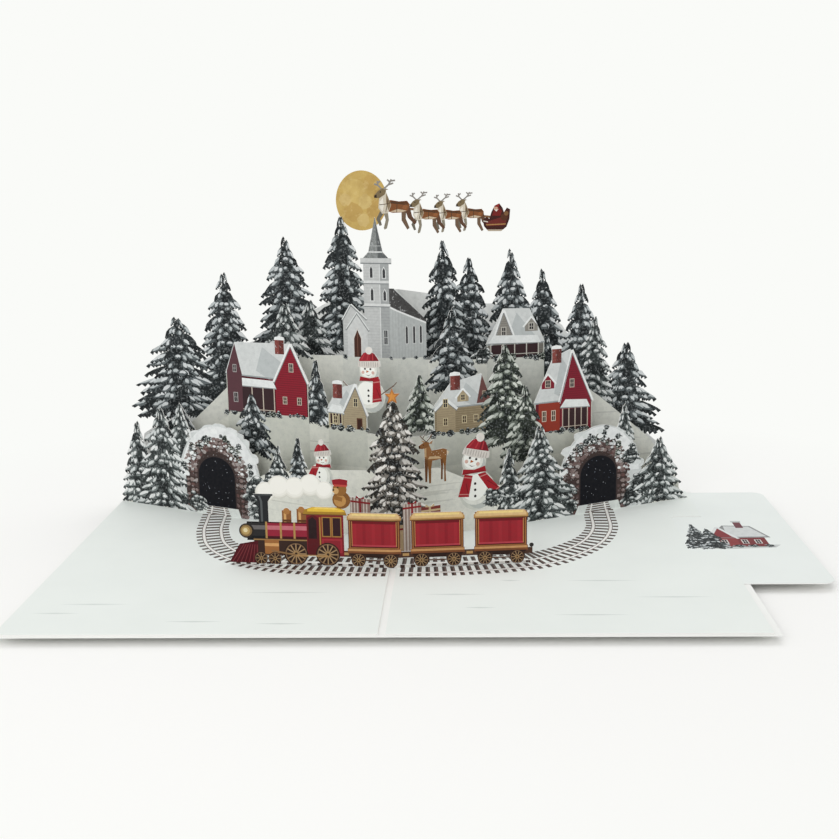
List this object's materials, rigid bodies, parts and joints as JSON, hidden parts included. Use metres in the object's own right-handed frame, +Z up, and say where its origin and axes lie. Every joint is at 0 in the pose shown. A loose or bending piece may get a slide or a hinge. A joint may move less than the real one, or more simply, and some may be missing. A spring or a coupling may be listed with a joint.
{
  "type": "pop-up christmas card",
  "caption": "Open pop-up greeting card with folded scene sheets, a train, a christmas tree and a note card that slides out.",
  "frame": {"origin": "middle of the spine on the underside of the open card", "axes": "+X to the right leaf and the note card, +Y to the back, +Z up"},
  "size_m": [0.336, 0.2, 0.17],
  "materials": {
    "cover": "matt white card",
    "left_liner": "matt printed card",
    "right_liner": "matt printed card",
    "pocket_spacer": "matt white card",
    "note_card": "matt printed card",
    "front_scene": "matt printed card",
    "village_scene": "matt printed card",
    "church_scene": "matt printed card",
    "forest_scene": "matt printed card",
    "moon_and_sleigh": "matt printed card",
    "christmas_tree": "matt printed card",
    "train": "matt printed card"
  },
  "bodies": {
    "card": {"cover": "cover", "left_liner": "left_liner", "right_liner": "right_liner", "pocket_spacer": "pocket_spacer", "front_scene": "front_scene", "village_scene": "village_scene", "church_scene": "church_scene", "forest_scene": "forest_scene", "moon_and_sleigh": "moon_and_sleigh", "christmas_tree": "christmas_tree", "train": "train"},
    "note": {"note_card": "note_card"}
  },
  "joints": [
    {"name": "note_slide", "type": "slide", "parent": "card", "child": "note", "axis": [1, 0, 0], "range_m": [-0.036, 0.055]}
  ]
}
